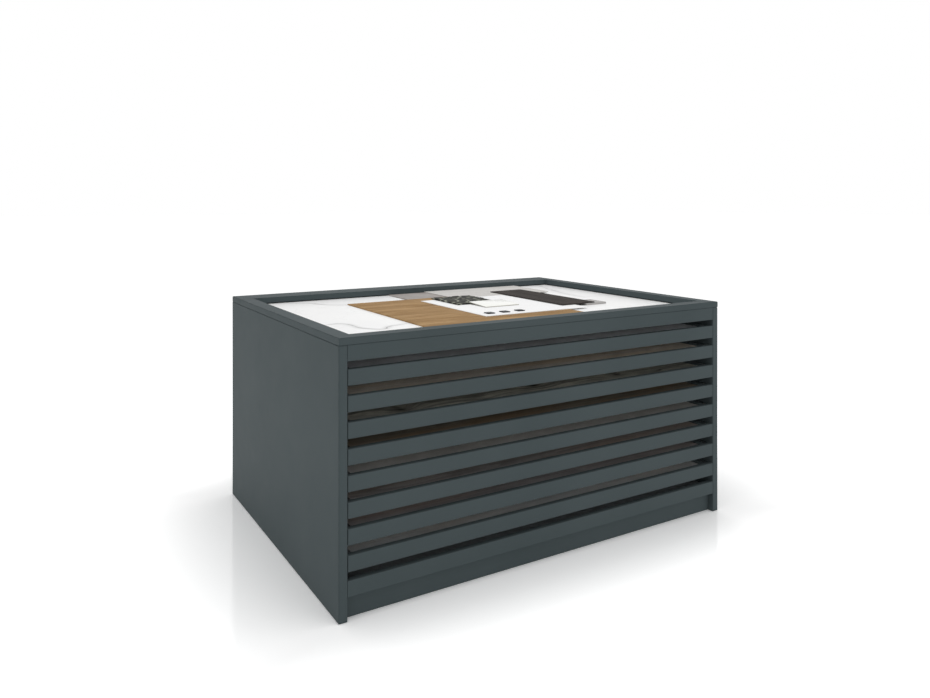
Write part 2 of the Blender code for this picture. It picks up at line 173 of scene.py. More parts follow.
# %% Node trees
class Tree:
    """A node tree under construction."""

    def __init__(self, tree):
        self.tree = tree

    def node(self, kind, settings=None, sockets=None, output=0):
        """Adds a node, with its settings first and its sockets next, and returns one of its outputs."""
        made = self.tree.nodes.new(kind)
        for name, value in (settings or {}).items():
            setattr(made, name, value)
        for name, value in (sockets or {}).items():
            self.feed(made.inputs[name], value)
        return Amount(self, made.outputs[output])

    def feed(self, socket, value):
        """Links a socket to an Amount, or sets it to a plain value."""
        if isinstance(value, Amount):
            self.tree.links.new(value.socket, socket)
        else:
            socket.default_value = value

    def vectors(self, operation, sockets, output=0):
        """A Vector Math node, because a Math node would turn a vector into one number."""
        return self.node("ShaderNodeVectorMath", {"operation": operation}, sockets, output)

    def step(self, value, low, high):
        """0 below `low`, 1 above `high`, eased between; the other way round if low is the larger."""
        return self.node(
            "ShaderNodeMapRange",
            {"interpolation_type": "SMOOTHSTEP"},
            {0: value, 1: low, 2: high, 3: 0.0, 4: 1.0},
        )


# %% Colours
def linear(share):
    """A display level between 0 and 1 as the light that it stands for."""
    return share / 12.92 if share <= 0.04045 else ((share + 0.055) / 1.055) ** 2.4


def shade(red, green, blue):
    """An 8-bit display colour as the linear colour that a shader takes."""
    return (*(linear(level / 255) for level in (red, green, blue)), 1.0)


# %% Materials as trees
class Paint(Tree):
    """A material under construction, with the shorthand that the finishes below share."""

    def __init__(self, name, shine=0.5):
        self.material = bpy.data.materials.new(name)
        self.material.use_nodes = True
        super().__init__(self.material.node_tree)
        self.shader = self.tree.nodes["Principled BSDF"]
        self.shader.inputs["Specular IOR Level"].default_value = shine
        self.place = self.node("ShaderNodeTexCoord", output="Object")

    def axes(self):
        """The x, y and z of a point on the surface."""
        return [self.node("ShaderNodeSeparateXYZ", sockets={0: self.place}, output=axis) for axis in range(3)]

    def cells(self, size, vector=None, turn=0.0):
        """Coordinates in which a cell is one unit, turned about the upright; `size` is one side or three."""
        vector = vector or self.place
        if turn:
            vector = self.node("ShaderNodeMapping", sockets={"Vector": vector, "Rotation": (0, 0, turn)})
        sides = (size,) * 3 if isinstance(size, float) else size
        scale = tuple(1 / side for side in sides)
        return self.node("ShaderNodeMapping", sockets={"Vector": vector, "Scale": scale})

    def noise(self, vector, detail=2.0, roughness=0.5, distortion=0.0):
        """Noise about 0.5, with one bump to each cell of the coordinates."""
        return self.node(
            "ShaderNodeTexNoise",
            sockets={
                "Vector": vector,
                "Scale": 1.0,
                "Detail": detail,
                "Roughness": roughness,
                "Distortion": distortion,
            },
        )

    def blend(self, share, first, second):
        """A colour between two colours."""
        return self.node("ShaderNodeMix", {"data_type": "RGBA"}, {0: share, 6: first, 7: second}, output=2)

    def bump(self, height, depth):
        """A normal for a surface on which a height of 1 stands out by `depth`."""
        return self.node("ShaderNodeBump", sockets={"Height": height, "Distance": depth, "Strength": 1.0})

    def finish(self, **sockets):
        """Feeds the shader's sockets, named as in base_color, and returns the material."""
        for name, value in sockets.items():
            self.feed(self.shader.inputs[name.replace("_", " ").title()], value)
        return self.material


# %% [markdown]
# ## Slate grey lacquer
#
# Boards, slats and frame are sprayed with a matt two-part lacquer. Close up it is never quite flat: the
# spray leaves an orange peel a few millimetres across, and the sheen drifts a little from place to place.
# A flat grey would look like plastic, so both are here, far too small to notice from across the room.


# %% Lacquer
LACQUER_DEEP = shade(67, 76, 78)
LACQUER_PALE = shade(73, 82, 84)
MATT = 0.07  # specular level of what is neither polished nor glazed
PEEL_DEPTH = 0.000015


def lacquer_layers(paint):
    """Colour, roughness and surface height of the sprayed lacquer."""
    drift = paint.noise(paint.cells(0.35), detail=4.0)
    speckle = paint.noise(paint.cells(0.0011), detail=1.0)
    colour = paint.blend(0.7 * paint.step(drift, 0.3, 0.7) + 0.3 * speckle, LACQUER_DEEP, LACQUER_PALE)
    sheen = paint.noise(paint.cells(0.09), detail=3.0)
    roughness = 0.52 + 0.12 * sheen
    peel = paint.noise(paint.cells(0.0026), detail=2.0)
    return colour, roughness, peel


lacquer_paint = Paint("slate_lacquer", MATT)
colour, roughness, peel = lacquer_layers(lacquer_paint)
slate_lacquer = lacquer_paint.finish(
    base_color=colour, roughness=roughness, normal=lacquer_paint.bump(peel, PEEL_DEPTH)
)
print("lacquer made with", len(slate_lacquer.node_tree.nodes), "nodes")

# %% [markdown]
# ## Zinc plated slides
#
# The drawers run on ball bearing slides of rolled, zinc plated sheet. Rolling leaves fine lines along the
# length, and the plating is blotchy, cool in one place and warm in the next. The fixed members are one
# solid with the side panels, and the inner ones with the drawer boards, so those two finishes switch to
# steel by a mask on x.


# %% Steel
def steel_layers(paint):
    """Colour, roughness and surface height of the zinc plated sheet."""
    lines = paint.noise(paint.cells((0.0007, 0.22, 0.0007)), detail=2.0)
    blotch = paint.noise(paint.cells((0.020, 0.035, 0.020)), detail=4.0, roughness=0.6)
    colour = paint.blend(paint.step(blotch, 0.3, 0.7), shade(163, 166, 170), shade(196, 196, 192))
    roughness = 0.26 + 0.16 * blotch + 0.08 * lines
    return colour, roughness, lines


steel_paint = Paint("zinc_steel")
colour, roughness, lines = steel_layers(steel_paint)
zinc_steel = steel_paint.finish(
    base_color=colour, roughness=roughness, metallic=1.0, normal=steel_paint.bump(lines, depth=0.000010)
)
print("steel made with", len(zinc_steel.node_tree.nodes), "nodes")

# %% Side panels with their slides
FRONT_GAP = 0.0015  # air between a drawer front and the side panel
MASK_START = 0.0001  # how far out from a board its slide begins to be steel
MASK_FULL = 0.0003  # and how far out it is nothing else


def finish_with_steel(paint, layers, is_steel, depth):
    """A board finish that gives way to zinc plated steel where the mask `is_steel` is 1."""
    colour, roughness, height = layers
    steel_colour, steel_roughness, steel_lines = steel_layers(paint)
    return paint.finish(
        base_color=paint.blend(is_steel, colour, steel_colour),
        roughness=roughness + (steel_roughness - roughness) * is_steel,
        metallic=is_steel,
        normal=paint.bump(height * (1 - is_steel) + 0.5 * steel_lines * is_steel, depth),
    )


panel_inner_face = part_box("drawer_1_front")[1].x + FRONT_GAP
panel_paint = Paint("slate_lacquer_with_slides", MATT)
across = abs(panel_paint.axes()[0])
on_slide = panel_paint.step(across, panel_inner_face - MASK_START, panel_inner_face - MASK_FULL)
panel_finish = finish_with_steel(panel_paint, lacquer_layers(panel_paint), on_slide, PEEL_DEPTH)
print("steel begins inside x =", round(panel_inner_face, 4))

# %% [markdown]
# ## Boards inside
#
# The bottom and the tray deck are laminated in plain grey. The drawer boards under the tiles are black
# laminate with a pressed pebble grain, which is what keeps a large flat board from looking wet. Both have
# white balancing foil underneath, as pressed boards do: it shows where the surface faces down.


# %% Laminates
GRAIN_DEPTH = 0.00005
INNER_SLIDE = 0.0083  # how far an inner slide member stands out from its board


def laminate_layers(paint, deep, pale):
    """Colour, roughness and surface height of a pressed, grained laminate with white foil underneath."""
    grain = paint.noise(paint.cells(0.0016), detail=3.0, roughness=0.6)
    drift = paint.noise(paint.cells(0.25), detail=3.0)
    facing = paint.node("ShaderNodeNewGeometry", output="True Normal")
    upright = paint.node("ShaderNodeSeparateXYZ", sockets={0: facing}, output=2)
    colour = paint.blend(0.6 * grain + 0.4 * drift, deep, pale)
    foil = paint.blend(drift, shade(232, 231, 227), shade(222, 220, 215))
    return paint.blend(paint.step(upright, -0.6, -0.8), colour, foil), 0.50 + 0.2 * grain, grain


inside_paint = Paint("grey_laminate", MATT)
colour, roughness, grain = laminate_layers(inside_paint, shade(126, 131, 134), shade(140, 145, 148))
grey_laminate = inside_paint.finish(
    base_color=colour, roughness=roughness, normal=inside_paint.bump(grain, GRAIN_DEPTH)
)

board_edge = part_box("drawer_1_board")[1].x - INNER_SLIDE
board_paint = Paint("black_board_with_slides", MATT)
across = abs(board_paint.axes()[0])
on_slide = board_paint.step(across, board_edge + MASK_START, board_edge + MASK_FULL)
board_layers = laminate_layers(board_paint, shade(30, 30, 32), shade(48, 48, 50))
board_finish = finish_with_steel(board_paint, board_layers, on_slide, GRAIN_DEPTH)
print("drawer boards end at x =", round(board_edge, 4))

# %% [markdown]
# ## Wood and wood-look tiles
#
# Sawn timber shows several things at once: wide wandering rings, fine streaks along the grain, short dark
# pores, and patches where its colour turns warmer or paler. Each is noise in coordinates stretched along
# the grain. The rings count off the widest one: within a ring the wood darkens slowly and then turns pale
# all at once, as it does where a year's growth ends. The same recipe prints the oak sample, the dark plank
# and the wood-look tiles in the drawers.


# %% Timber
def timber_layers(
    paint, along, pale, deep, pore, flush, vector=None, rings_per_unit=15.0, patch=(0.36, 0.045)
):
    """Colour, roughness and height of sawn wood with its grain along "x" or "y".

    Patches of about `patch`, its length and breadth, turn to the tone `flush`. The coordinates are those
    of the surface, or `vector`.
    """

    def run(length, breadth):
        """Coordinates in cells of that length along the grain and that breadth across it."""
        size = (length, breadth, breadth) if along == "x" else (breadth, length, breadth)
        return paint.cells(size, vector)

    flow = paint.noise(run(0.70, 0.060), detail=1.0, roughness=0.4, distortion=0.5)
    year = (flow * rings_per_unit).fraction()
    rings = paint.step(year, 0.05, 0.80) * paint.step(year, 1.0, 0.90)
    streaks = paint.step(paint.noise(run(0.16, 0.0035), detail=3.0), 0.32, 0.68)
    drift = paint.step(paint.noise(run(0.20, 0.06), detail=3.0), 0.30, 0.70)
    pores = paint.step(paint.noise(run(0.014, 0.0007), detail=1.0), 0.60, 0.74)
    patches = paint.step(paint.noise(run(*patch), detail=3.0), 0.36, 0.74) * (1 - 0.5 * streaks)
    tone = 0.40 * rings + 0.30 * streaks + 0.30 * drift
    colour = paint.blend(0.80 * patches, paint.blend(tone, pale, deep), flush)
    colour = paint.blend(0.55 * pores, colour, pore)
    height = 0.5 * streaks + 0.3 * rings - 0.6 * pores
    return colour, 0.42 + 0.14 * streaks, height


# %% Plain wood
OAK = [(174, 141, 98), (132, 102, 66), (98, 73, 46), (196, 163, 121)]
DARK_PLANK = [(69, 65, 63), (49, 46, 44), (32, 29, 28), (76, 71, 67)]
BLEACHED = [(210, 205, 199), (172, 166, 157), (116, 108, 96), (200, 183, 159)]
BROWN = [(141, 135, 124), (101, 96, 86), (60, 54, 45), (140, 113, 81)]
RED_BROWN = [(167, 164, 163), (116, 113, 112), (72, 67, 63), (158, 138, 124)]


def wood(name, along, tones, dulled=0.0, shine=MATT):
    """A wood finish from its pale, deep, pore and flush tones."""
    paint = Paint(name, shine)
    colour, roughness, height = timber_layers(paint, along, *(shade(*tone) for tone in tones))
    normal = paint.bump(height, depth=0.00006)
    return paint.finish(base_color=colour, roughness=roughness + dulled, normal=normal)


oak = wood("oiled_oak", "x", OAK, dulled=0.15, shine=0.03)
dark_plank = wood("dark_plank", "y", DARK_PLANK, dulled=0.25, shine=0.03)
bleached_tile = wood("bleached_tile", "x", BLEACHED)
brown_tile = wood("brown_wood_tile", "x", BROWN)
red_tile = wood("red_brown_wood_tile", "x", RED_BROWN)
print("five plain wood finishes")

# %% [markdown]
# One drawer shows a rustic board full of knots and pale streaks. A knot is a small round eye that the
# grain flows around: a Voronoi cell centre gives the eye and the dusky ring about it, and pushing the
# timber's coordinates away from it bends the grain. A random draw for each cell says how strong its knot
# is, so that some have none.

# %% Knotted tile
KNOTTED = [(166, 166, 159), (78, 78, 72), (52, 51, 46), (224, 223, 211)]
KNOT_SPACING = (0.15, 0.085, 0.085)
KNOT_PULL = 0.038  # how far the grain is pushed aside at a strong knot

knot_paint = Paint("knotted_wood_tile", MATT)
knot_cells = {"Vector": knot_paint.cells(KNOT_SPACING), "Scale": 1.0}
flat = {"voronoi_dimensions": "2D"}
eye_distance = knot_paint.node("ShaderNodeTexVoronoi", flat, knot_cells, output="Distance")
draw = knot_paint.node("ShaderNodeTexVoronoi", flat, knot_cells, output="Color")
strength = knot_paint.step(knot_paint.node("ShaderNodeSeparateColor", sockets={0: draw}), 0.30, 0.80)
eye = knot_paint.step(eye_distance, 0.13, 0.03) * strength
dusk = knot_paint.step(eye_distance, 0.38, 0.08) * strength
aside = KNOT_PULL * knot_paint.step(eye_distance, 0.70, 0.0) * strength
pull = knot_paint.node("ShaderNodeCombineXYZ", sockets={1: aside})
pulled = knot_paint.vectors("ADD", {0: knot_paint.place, 1: pull})
colour, roughness, height = timber_layers(
    knot_paint,
    "x",
    *(shade(*tone) for tone in KNOTTED),
    vector=pulled,
    rings_per_unit=18.0,
    patch=(0.16, 0.016),
)
knotted_tile = knot_paint.finish(
    base_color=knot_paint.blend(0.40 * dusk + 0.45 * eye, colour, shade(40, 37, 30)),
    roughness=roughness,
    normal=knot_paint.bump(height - 0.5 * eye, depth=0.00008),
)
print("knotted tile made with", len(knotted_tile.node_tree.nodes), "nodes")

# %% [markdown]
# The two lowest drawers are laid with planks that run across the width. Each was cut from another place
# in the log, so a random number per plank shifts its grain and its tone, and dirt darkens the vee between.

# %% Plank tiles
RED_PLANKS = [(177, 174, 175), (125, 122, 123), (76, 69, 64), (170, 148, 136)]
TAUPE_PLANKS = [(202, 205, 206), (156, 158, 159), (96, 94, 90), (190, 180, 168)]
PLANK = 0.200  # breadth of a plank
LOG_SHIFT = (3.0, 0.9, 0.4)  # how far a draw of 1 moves the grain along x, y and z
tile_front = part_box("drawer_7_tile")[0].y


def planks(name, tones):
    """A finish of planks side by side, from the pale, deep, pore and flush tones of their wood."""
    pale, deep, pore, flush = (shade(*tone) for tone in tones)
    paint = Paint(name, MATT)
    _, y, _ = paint.axes()
    lane = (y - tile_front) / PLANK
    draw = paint.node("ShaderNodeTexWhiteNoise", {"noise_dimensions": "1D"}, {"W": lane.floor() + 0.5})
    shifts = {axis: reach * draw for axis, reach in enumerate(LOG_SHIFT)}
    shift = paint.node("ShaderNodeCombineXYZ", sockets=shifts)
    moved = paint.vectors("ADD", {0: paint.place, 1: shift})
    colour, roughness, height = timber_layers(paint, "x", pale, deep, pore, flush, vector=moved)
    toned = paint.blend(0.34 * draw, colour, deep)
    seam = paint.step(abs(lane.fraction() - 0.5), 0.490, 0.498)
    return paint.finish(
        base_color=paint.blend(0.8 * seam, toned, pore),
        roughness=roughness + 0.2 * seam,
        normal=paint.bump(height, depth=0.00007),
    )


red_planks = planks("red_brown_planks", RED_PLANKS)
taupe_planks = planks("taupe_planks", TAUPE_PLANKS)
print("plank finishes with lanes of", PLANK, "m")

# %% [markdown]
# ## Stone-look tiles
#
# The cement and limestone tiles are clouds at several sizes, pressed matt. Fine grit, small pits, pale
# flecks and a few hairline seams are what make clouds look like stone. Greige is a travertine look: the
# same clouds, drawn out into thin level bands along its length.


# %% Stone
def stone(name, pale, deep, cloud=(0.14, 0.14, 0.14)):
    """A stone-look finish between two tones, with clouds of about the given size."""
    paint = Paint(name, MATT)
    drift = paint.noise(paint.cells(cloud), detail=8.0, roughness=0.64, distortion=0.5)
    grit = paint.noise(paint.cells(0.0018), detail=3.0, roughness=0.7)
    pits = paint.step(paint.noise(paint.cells(0.0055), detail=2.0), 0.68, 0.76)
    flecks = paint.step(paint.noise(paint.cells((0.013, 0.010, 0.010)), detail=3.0), 0.58, 0.68)
    seams = paint.noise(paint.cells([2 * side for side in cloud]), detail=6.0, roughness=0.6, distortion=0.8)
    hairs = paint.step(abs(seams - 0.5), 0.010, 0.0) * paint.step(drift, 0.35, 0.65)
    tone = 0.72 * paint.step(drift, 0.28, 0.72) + 0.28 * grit
    colour = paint.blend(0.45 * flecks, paint.blend(tone, pale, deep), pale)
    colour = paint.blend(0.60 * hairs, colour, pale)
    return paint.finish(
        base_color=paint.blend(0.45 * pits, colour, deep),
        roughness=0.46 + 0.14 * grit,
        normal=paint.bump(0.4 * grit - 0.5 * pits, depth=0.00006),
    )


grey_tile = stone("grey_stone_tile", shade(207, 210, 215), shade(179, 182, 186))
taupe_tile = stone("taupe_stone_tile", shade(190, 189, 187), shade(156, 155, 152))
taupe = stone("taupe_sample", shade(172, 166, 162), shade(148, 142, 138))
greige = stone("greige_sample", shade(220, 218, 214), shade(194, 191, 187), cloud=(0.50, 0.012, 0.012))
grey = stone("grey_sample", shade(186, 184, 182), shade(160, 157, 155))
print("five stone finishes")

# %% [markdown]
# ## Marble and card
#
# The tray's slab is white marble with a few thin grey veins. Those that show in the bare bays are drawn as
# short stretches along a smooth curve: the distance to the nearest stretch, in coordinates that noise has
# pushed about, sharpened to a thread with a soft halo. The rest is a web of faint veins from warped noise.
# The card is plain white, with a little fibre in it.

# %% A stretch of a vein
WARP = 0.040  # noise pushes the veins about by up to half of this
HALO = 6  # how many times as broad as a thread its halo is

marble_paint = Paint("white_marble", shine=0.2)
x, y, _ = marble_paint.axes()
wander = marble_paint.noise(marble_paint.cells(0.10), detail=3.0, roughness=0.5) - 0.5
warped = marble_paint.node("ShaderNodeCombineXYZ", sockets={0: x + WARP * wander, 1: y - WARP * wander})


def stretch(start, end, breadth):
    """The thread between two points (x, y, strength) of a vein, with a soft halo on both sides."""
    run = Vector((end.x - start.x, end.y - start.y, 0))
    aside = marble_paint.vectors("SUBTRACT", {0: warped, 1: (start.x, start.y, 0)})
    along = marble_paint.vectors("DOT_PRODUCT", {0: aside, 1: run / run.length_squared}, "Value")
    share = marble_paint.node("ShaderNodeClamp", sockets={0: along})
    nearest = marble_paint.vectors("SCALE", {0: run, "Scale": share})
    gap = marble_paint.vectors("DISTANCE", {0: aside, 1: nearest}, "Value")
    thread = marble_paint.step(gap, breadth, 0.0) + 0.5 * marble_paint.step(gap, HALO * breadth, 0.0)
    return thread * (start.z + (end.z - start.z) * share)


# %% Whole veins
STRETCHES = 3  # from one of a vein's points to the next


def smooth_chain(points):
    """Points of a smooth curve through `points`, close enough for straight stretches between them."""
    knots = [Vector(point) for point in (points[0], *points, points[-1])]
    chain = [knots[0]]
    for before, start, end, after in zip(knots, knots[1:], knots[2:], knots[3:]):
        leaving = start + (end - before) / 6
        arriving = end - (after - start) / 6
        chain += interpolate_bezier(start, leaving, arriving, end, STRETCHES + 1)[1:]
    return chain


def vein(points, breadth):
    """A chain of stretches; where two meet, the stronger one shows."""
    chain = smooth_chain(points)
    threads = [stretch(start, end, breadth) for start, end in zip(chain, chain[1:])]
    strongest = threads[0]
    for thread in threads[1:]:
        strongest = strongest.larger(thread)
    return strongest


front_points = [
    (-0.600, -0.165, 0.2),
    (-0.520, -0.146, 0.6),
    (-0.488, -0.166, 0.8),
    (-0.480, -0.250, 0.8),
    (-0.434, -0.290, 1.0),
    (-0.396, -0.250, 0.7),
    (-0.300, -0.215, 0.2),
]
back_points = [(-0.56, 0.375, 0.1), (-0.435, 0.325, 0.4), (-0.395, 0.25, 0.5), (-0.3, 0.19, 0.4)]
right_points = [(0.56, 0.375, 0.2), (0.5, 0.21, 0.5), (0.47, 0.08, 0.4), (0.455, -0.06, 0.0)]
front_vein = vein(front_points, breadth=0.0035)
back_vein = vein(back_points, breadth=0.0035)
right_vein = vein(right_points, breadth=0.006)

# %% Marble slab
wisp = marble_paint.noise(marble_paint.cells(0.05), detail=3.0)
web_cells = marble_paint.cells((0.34, 0.26, 0.3), turn=0.6)
web_field = marble_paint.noise(web_cells, detail=5.0, roughness=0.55, distortion=1.2)
web = marble_paint.step(abs(web_field - 0.5), 0.016, 0.0)
veins = front_vein.larger(back_vein).larger(right_vein) * (0.25 + 1.1 * wisp) + 0.12 * web * wisp
cloud = marble_paint.noise(marble_paint.cells(0.30), detail=4.0)
ground = marble_paint.blend(marble_paint.step(cloud, 0.35, 0.75), shade(254, 254, 253), shade(249, 249, 249))
white_marble = marble_paint.finish(
    base_color=marble_paint.blend(veins.smaller(0.85), ground, shade(150, 149, 148)),
    roughness=0.32 + 0.08 * wisp,
)
print("marble made with", len(white_marble.node_tree.nodes), "nodes")

# %% White card
card_paint = Paint("white_card", MATT)
fibre = card_paint.noise(card_paint.cells((0.0022, 0.0009, 0.0009), turn=0.4), detail=3.0)
white_card = card_paint.finish(
    base_color=card_paint.blend(fibre, shade(250, 250, 250), shade(255, 255, 255)),
    roughness=0.62 + 0.1 * fibre,
    normal=card_paint.bump(fibre, depth=0.00002),
)
print("card made with", len(white_card.node_tree.nodes), "nodes")

# %% [markdown]
# ## Finishes onto the CAD pieces
#
# A CAD node keeps its shape and gets a material in its slot. One table says which finish goes where, and
# what it doesn't name is plain lacquer.

# %% Assign finishes
finishes = {
    "left_side_panel": panel_finish,
    "right_side_panel": panel_finish,
    "bottom_panel": grey_laminate,
    "top_deck": grey_laminate,
    "tray_marble_slab": white_marble,
    "oak_sample": oak,
    "taupe_sample": taupe,
    "greige_sample": greige,
    "dark_plank_sample": dark_plank,
    "grey_sample": grey,
    "white_card_sample": white_card,
}
tile_finishes = [
    grey_tile,
    bleached_tile,
    knotted_tile,
    brown_tile,
    taupe_tile,
    red_tile,
    red_planks,
    taupe_planks,
]
DRAWERS = range(1, len(tile_finishes) + 1)  # from the top down
for number, tile_finish in zip(DRAWERS, tile_finishes):
    finishes[f"drawer_{number}_tile"] = tile_finish
    finishes[f"drawer_{number}_board"] = board_finish
    finishes[f"slide_{number}_left_middle"] = zinc_steel
    finishes[f"slide_{number}_right_middle"] = zinc_steel
for name, node in nodes.items():
    node.material_slots[0].material = finishes.get(name, slate_lacquer)
print(len(finishes), "nodes with a finish of their own,", len(nodes) - len(finishes), "in plain lacquer")

# %% [markdown]
# ## Strips of painted shade on the tiles
#
# Each tile lies against the left slide, and a slim angle in the cabinet's grey lies over its right end. It
# is a dark piece put there as painted shade, where the end of the tile lies in shade beside the right side
# panel. Two boxes could stand for it, but an angle is one extruded section with soft edges, so it is made
# as that section, drawn out from the front to the back of the tile.

# %% Pieces from mesh code
CREASE = math.radians(40)  # edges that turn by more than this stay sharp


def mesh_data(name, mesh):
    """Plain mesh data from mesh code, which is then let go."""
    data = bpy.data.meshes.new(name)
    mesh.to_mesh(data)
    mesh.free()
    return data


def add_piece(name, data, finish, body):
    """Puts mesh data in the scene as a piece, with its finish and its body."""
    data.materials.clear()
    data.materials.append(finish)
    data.shade_smooth()
    data.set_sharp_from_angle(angle=CREASE)
    piece = bpy.data.objects.new(name, data)
    scene.collection.objects.link(piece)
    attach(piece, body)


# %% Strips of painted shade
REST = 0.0003  # air that is left under a loose piece
LIP = 0.021  # how far a strip reaches over the tile
SHEET = 0.0016  # thickness of a strip
SOFT_EDGE = 0.0004  # width of a strip's softened edges


def extruded(section, front, back):
    """A closed bar with the (x, z) section, from y = front to y = back, its edges softened."""
    mesh = bmesh.new()
    ends = [[mesh.verts.new((x, y, z)) for x, z in section] for y in (front, back)]
    mesh.faces.new(ends[0])
    mesh.faces.new(reversed(ends[1]))
    for index in range(len(section)):
        after = (index + 1) % len(section)
        mesh.faces.new((ends[0][after], ends[0][index], ends[1][index], ends[1][after]))
    bmesh.ops.recalc_face_normals(mesh, faces=mesh.faces)
    bmesh.ops.bevel(mesh, geom=mesh.edges, offset=SOFT_EDGE, segments=2, profile=0.5, affect="EDGES")
    return mesh


for number in DRAWERS:
    low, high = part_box(f"drawer_{number}_tile")
    inner, outer = high.x - LIP, high.x + REST
    under, foot = high.z + REST, low.z + 2 * REST
    angle_section = [
        (inner, under),
        (outer, under),
        (outer, foot),
        (outer + SHEET, foot),
        (outer + SHEET, under + SHEET),
        (inner, under + SHEET),
    ]
    # a grey strip over the tile's right end: a dark piece put there as painted shade
    name = f"drawer_{number}_clamp_strip"
    strip = mesh_data(name, extruded(angle_section, low.y + REST, high.y - REST))
    add_piece(name, strip, slate_lacquer, f"drawer_{number}")
print("clamp strips reach", LIP, "m over each tile")

# %% [markdown]
# ## Small samples in the tray
#
# A white glazed tile leans on its neighbour, the dark mosaic. A pressed tile is not a sharp box: its glaze
# rolls over the edge, and the bare clay body shows below. So it is a slab with rounded edges, tipped until
# it touches what carries it, and its finish turns darker where the surface no longer faces up: partly the
# bare clay body, partly painted shade along its edges.


# %% Slabs that lean
def block(size, level):
    """A plain box about the upright through the origin, its middle at the height `level`."""
    mesh = bmesh.new()
    bmesh.ops.create_cube(mesh, size=1.0)
    bmesh.ops.scale(mesh, vec=size, verts=mesh.verts)
    bmesh.ops.translate(mesh, vec=(0, 0, level), verts=mesh.verts)
    return mesh


def rounded_slab(size, radius):
    """A slab standing on z = 0 about the origin, its edges rolled over."""
    mesh = block(size, size[2] / 2)
    bmesh.ops.bevel(mesh, geom=mesh.edges, offset=radius, segments=3, profile=0.5, affect="EDGES")
    return mesh


def tip(edge, rise):
    """The turn about an edge along x, through the point `edge`, that climbs by `rise` towards the back."""
    return Matrix.Translation(edge) @ Matrix.Rotation(math.atan(rise), 4, "X") @ Matrix.Translation(-edge)


# %% White glaze
glaze_paint = Paint("white_glaze", shine=0.3)
ripple = glaze_paint.noise(glaze_paint.cells(0.018), detail=2.0)
pool = glaze_paint.noise(glaze_paint.cells(0.05), detail=3.0)
facing = glaze_paint.node("ShaderNodeNewGeometry", output="True Normal")
# darker edges: the bare clay body, and painted shade along the edges
clay_and_shade = glaze_paint.step(glaze_paint.node("ShaderNodeSeparateXYZ", sockets={0: facing}, output=2), 0.6, 0.3)
glaze = glaze_paint.blend(pool, shade(255, 255, 250), shade(251, 252, 246))
clay_and_painted_shade = glaze_paint.blend(ripple, shade(206, 204, 196), shade(190, 187, 178))
white_glaze = glaze_paint.finish(
    base_color=glaze_paint.blend(clay_and_shade, glaze, clay_and_painted_shade),
    roughness=0.10 + 0.10 * pool + 0.5 * clay_and_shade,
    normal=glaze_paint.bump(ripple, depth=0.00012),
)
print("glaze made with", len(white_glaze.node_tree.nodes), "nodes")

# %% White tile
MOSAIC_FRONT_LEFT = (-0.050, -0.017)
MOSAIC_BACK_RIGHT = (0.102, 0.160)
MOSAIC_SLAB = 0.0030  # thickness of the mosaic up to its grout
MOSAIC_RELIEF = 0.0016  # how far a pebble stands out of the grout
WHITE_TILE = Vector((0.128, 0.100, 0.003))
WHITE_TILE_FRONT = (0.060, -0.111)  # the middle of its front edge
GLAZE_ROLL = 0.0010  # radius of its rolled edge

card_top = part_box("white_card_sample")[1]
on_card = card_top.z + REST
mosaic_low = Vector((*MOSAIC_FRONT_LEFT, on_card))
mosaic_high = Vector((*MOSAIC_BACK_RIGHT, on_card + MOSAIC_SLAB))
front_edge = Vector((*WHITE_TILE_FRONT, on_card))
rise = (mosaic_high.z + MOSAIC_RELIEF + REST - front_edge.z) / (mosaic_low.y - front_edge.y)
white_tile = rounded_slab(WHITE_TILE, GLAZE_ROLL)
bmesh.ops.translate(white_tile, vec=front_edge + Vector((0, WHITE_TILE.y / 2, 0)), verts=white_tile.verts)
bmesh.ops.transform(white_tile, matrix=tip(front_edge, rise), verts=white_tile.verts)
add_piece("white_tile", mesh_data("white_tile", white_tile), white_glaze, "carcass")
print("white tile leans at", round(math.degrees(math.atan(rise)), 1), "degrees")

# %% [markdown]
# ## Pebble mosaic
#
# The dark sample is a mosaic of flat pebbles set in lighter grout. Modelling each pebble by hand would be
# slow, and a bump map would not catch the light along its edge. A Voronoi texture already packs cells
# with even gaps, so Geometry Nodes raise a fine slab by the distance to the nearest cell edge, and the
# material reads the same texture to know stone from grout. The mosaic leans too, on the greige sample.


# %% Geometry Nodes as trees
class Growth(Tree):
    """A Geometry Nodes tree under construction."""

    def __init__(self, name, inputs):
        group = bpy.data.node_groups.new(name, "GeometryNodeTree")
        super().__init__(group)
        group.interface.new_socket("Geometry", in_out="INPUT", socket_type="NodeSocketGeometry")
        group.interface.new_socket("Geometry", in_out="OUTPUT", socket_type="NodeSocketGeometry")
        self.keys = {}
        for label, kind in inputs.items():
            socket = group.interface.new_socket(label, in_out="INPUT", socket_type=f"NodeSocket{kind}")
            self.keys[label] = socket.identifier
        self.source = group.nodes.new("NodeGroupInput")

    def given(self, label):
        """What the tree is given for one of its inputs."""
        return Amount(self, self.source.outputs[label])

    def end(self, geometry, finish):
        """Makes copies real, gives them their finish and hands them out."""
        realized = self.node("GeometryNodeRealizeInstances", sockets={0: geometry})
        painted = self.node("GeometryNodeSetMaterial", sockets={0: realized, "Material": finish})
        self.feed(self.tree.nodes.new("NodeGroupOutput").inputs[0], painted)

    def grow(self, name, seed_mesh, values):
        """Runs the tree on a mesh and returns the result as a plain mesh."""
        holder = bpy.data.objects.new(name + "_source", seed_mesh)
        scene.collection.objects.link(holder)
        modifier = holder.modifiers.new("growth", "NODES")
        modifier.node_group = self.tree
        for label, value in values.items():
            modifier[self.keys[label]] = value
        bpy.context.view_layer.update()
        evaluated = holder.evaluated_get(bpy.context.evaluated_depsgraph_get())
        made = bpy.data.meshes.new_from_object(evaluated)
        made.name = name
        holder.modifiers.remove(modifier)
        bpy.data.objects.remove(holder)
        return made


# %% Mosaic finish
PEBBLE = 0.034  # from one pebble to the next
GROUT_EDGE = (0.06, 0.13)  # where grout ends and stone is all there is, in pebbles from a cell's edge
DOME_EDGE = (0.04, 0.24)  # where a pebble begins to rise and where it is flat, likewise


